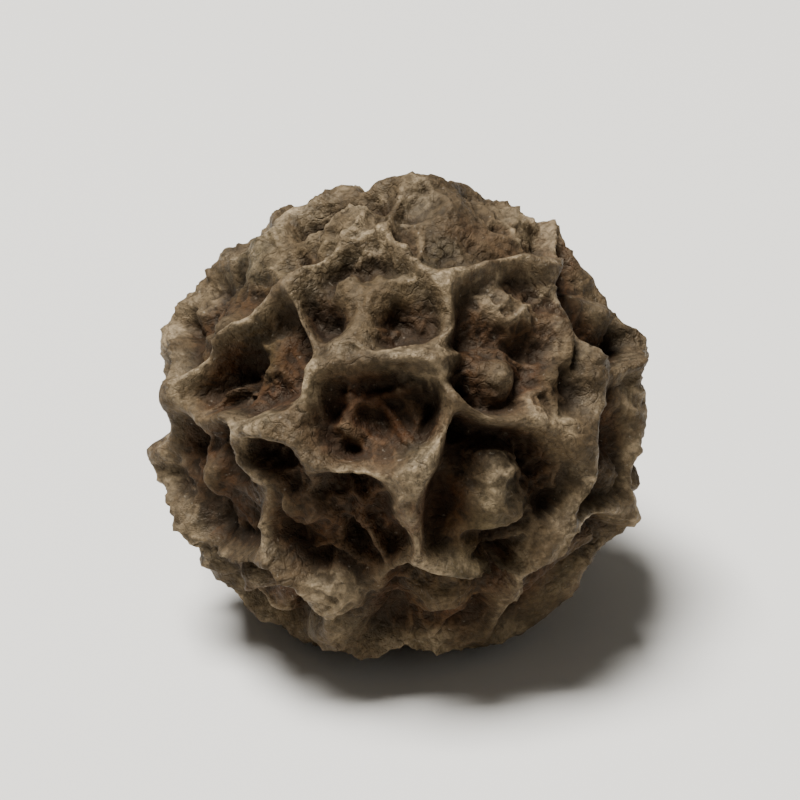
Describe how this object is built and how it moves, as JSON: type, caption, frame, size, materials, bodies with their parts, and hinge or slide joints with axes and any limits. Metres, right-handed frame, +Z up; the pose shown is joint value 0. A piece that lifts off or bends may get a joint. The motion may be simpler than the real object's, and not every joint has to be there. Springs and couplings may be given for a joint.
{
  "type": "black peppercorn",
  "caption": "Whole dried black peppercorn: a hard, nearly round wrinkled fruit with a raised net of ridges round deep hollows, resting on a small flat spot.",
  "frame": {"origin": "on the surface that the peppercorn rests on, under the middle of its box and inside the worn flat spot", "axes": "+Z up, away from the resting spot; X along the longest way across; the side shown in the picture faces -Y and upwards"},
  "size_m": [0.0054, 0.0052, 0.0049],
  "materials": {
    "dried_skin": "matte"
  },
  "bodies": {
    "root": {"peppercorn": "dried_skin"}
  },
  "joints": []
}
